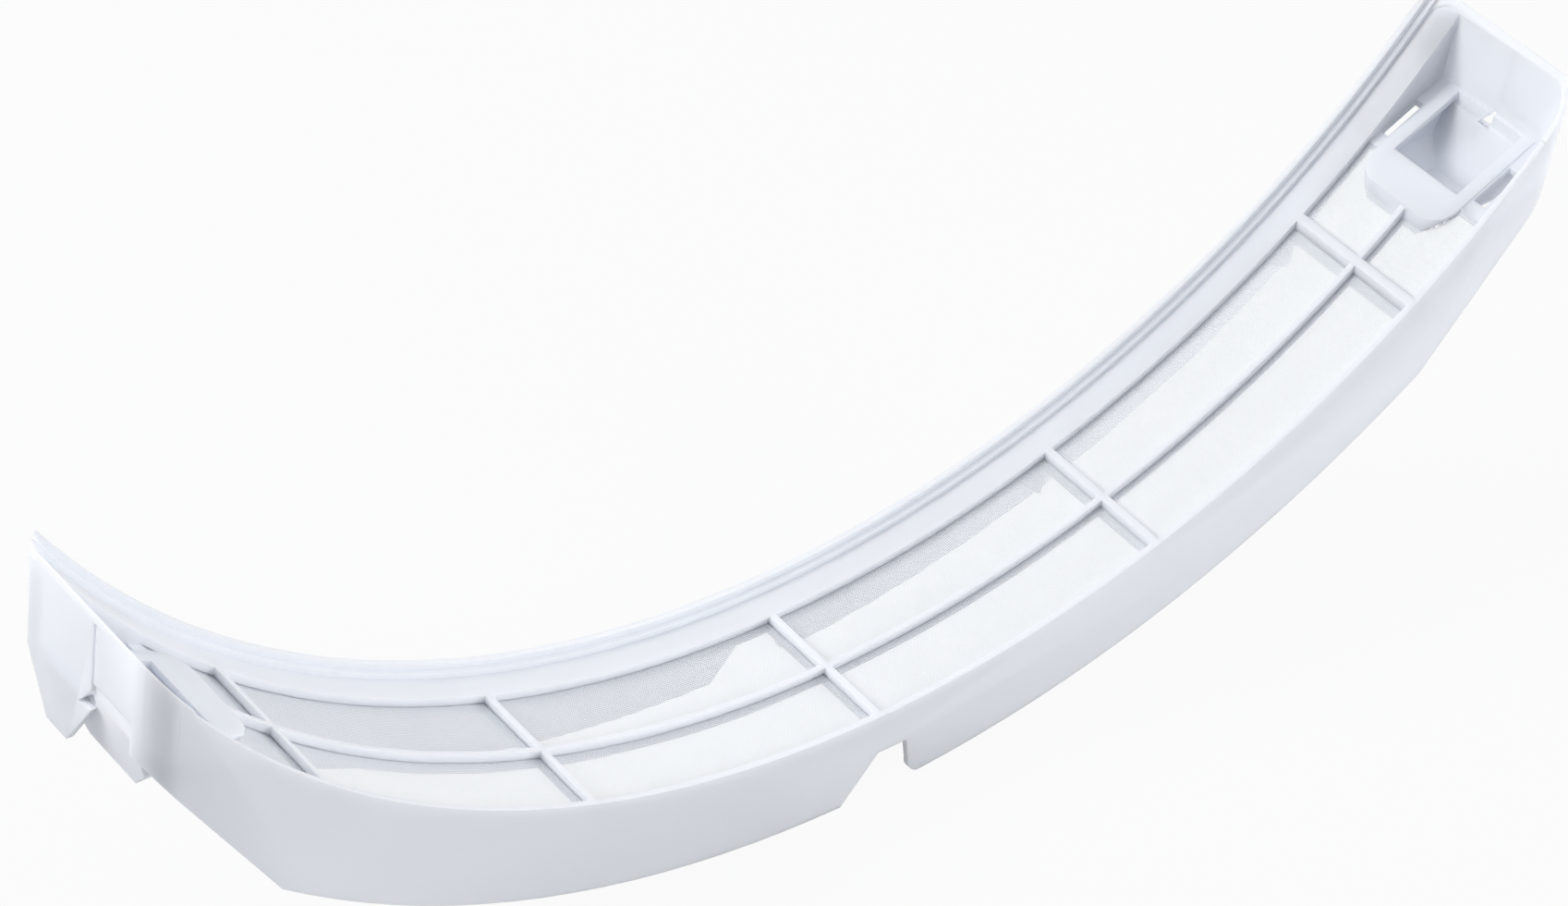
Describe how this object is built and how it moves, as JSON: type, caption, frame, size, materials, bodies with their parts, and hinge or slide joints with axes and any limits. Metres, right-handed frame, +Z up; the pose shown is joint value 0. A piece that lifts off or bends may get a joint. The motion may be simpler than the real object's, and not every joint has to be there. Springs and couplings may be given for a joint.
{
  "type": "dryer lint filter",
  "caption": "Curved open tray of white plastic with a fine filter mesh between ribs, a finger cup at each end and a snap latch on each end wall.",
  "frame": {"origin": "under the middle of the curve, on the surface that the lower edges rest on", "axes": "+X along the chord, +Y from the notched near wall to the lipped far wall, +Z up, with the hollow side of the curve upward"},
  "size_m": [0.407, 0.051, 0.134],
  "materials": {
    "frame": "satin moulded",
    "mesh": "fine woven monofilament"
  },
  "bodies": {
    "root": {"frame": "frame", "mesh": "mesh"}
  },
  "joints": []
}
